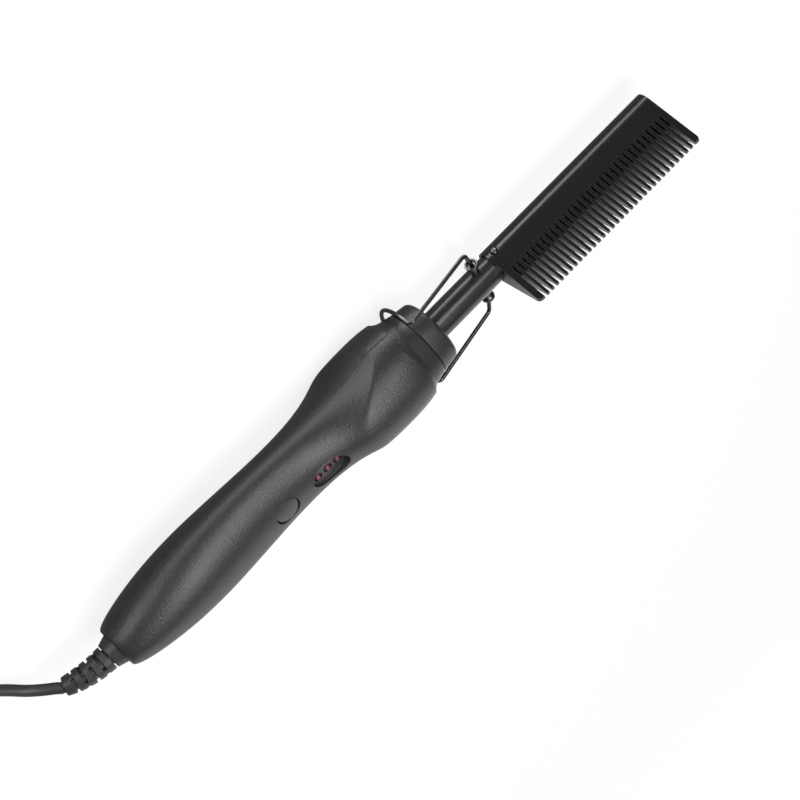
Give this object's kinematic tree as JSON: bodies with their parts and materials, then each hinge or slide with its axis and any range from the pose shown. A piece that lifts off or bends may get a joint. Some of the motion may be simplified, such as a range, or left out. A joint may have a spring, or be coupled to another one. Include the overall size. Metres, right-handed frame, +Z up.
{
  "type": "electric hot comb",
  "caption": "Electric hot comb: heated metal comb on a steel barrel, oval handle with power button and lamps, folding wire stand, mains cord and plug.",
  "frame": {"origin": "on the table under the middle of the tool, which lies on its bulge with the teeth up; the cord, coil and plug lie behind it", "axes": "+X along the barrel towards the comb's tip, +Z up, the way the teeth, the button and the lamps face, +Y to the side"},
  "size_m": [0.4429, 0.064, 0.046],
  "materials": {
    "handle_plastic": "fine-grained matte charcoal",
    "lower_plastic": "fine-grained matte charcoal",
    "cap_plastic": "heat resistant moulding",
    "button_plastic": "satin",
    "barrel_paint": "satin dark grey paint",
    "comb_paint": "smooth near-black ceramic paint",
    "dark_steel": "blackened steel wire",
    "stud_steel": "blackened steel",
    "bright_steel": "zinc plated",
    "bright_brass": "nickel plated brass pins",
    "ceramic": "fired ceramic",
    "glass_sleeve": "woven glass sleeve",
    "lamp_red": "red tinted lens",
    "board_green": "solder resist",
    "component_black": "moulded",
    "component_blue": "shrink sleeve",
    "component_yellow": "boxed film capacitor",
    "wire_white": "silicone insulation",
    "wire_red": "insulation",
    "wire_brown": "insulation",
    "cord_rubber": "soft satin dark grey",
    "tie_strap": "hook and loop strap"
  },
  "bodies": {
    "tool": {"upper_shell": "handle_plastic", "lower_shell": "lower_plastic", "shell_screws": "bright_steel", "neck_ring": "cap_plastic", "front_cap": "cap_plastic", "barrel_bush": "ceramic", "barrel": "barrel_paint", "comb": "comb_paint", "comb_screw": "dark_steel", "heating_rod": "ceramic", "heat_sensor": "ceramic", "thermal_fuse": "ceramic", "wire_sleeve": "glass_sleeve", "stand_studs": "stud_steel", "switch_body": "component_black", "lamps": "lamp_red", "circuit_board": "board_green", "board_screws": "bright_steel", "film_capacitor": "component_yellow", "round_capacitor": "component_blue", "triac": "component_black", "control_chip": "component_black", "heater_wires": "wire_white", "sensor_wires": "wire_red", "mains_wires": "wire_brown", "inner_cord": "cord_rubber", "cord_clamp": "component_black", "clamp_screws": "bright_steel", "strain_relief": "cord_rubber", "cord_lead": "cord_rubber", "cord_coil": "cord_rubber", "cord_tie": "tie_strap", "cord_tail": "cord_rubber", "plug_body": "cord_rubber", "plug_pins": "bright_brass"},
    "stand": {"wire_stand": "dark_steel"},
    "button": {"power_button": "button_plastic", "switch_plunger": "component_black"}
  },
  "joints": [
    {"name": "stand_pivot", "type": "hinge", "parent": "tool", "child": "stand", "pos_m": [0.0489, 0, 0.0194], "axis": [0, -1, 0], "range_deg": [0, 105]},
    {"name": "button_press", "type": "slide", "parent": "tool", "child": "button", "axis": [0, 0, -1], "range_m": [0, 0.0006], "stiffness_N_per_m": 1200}
  ]
}
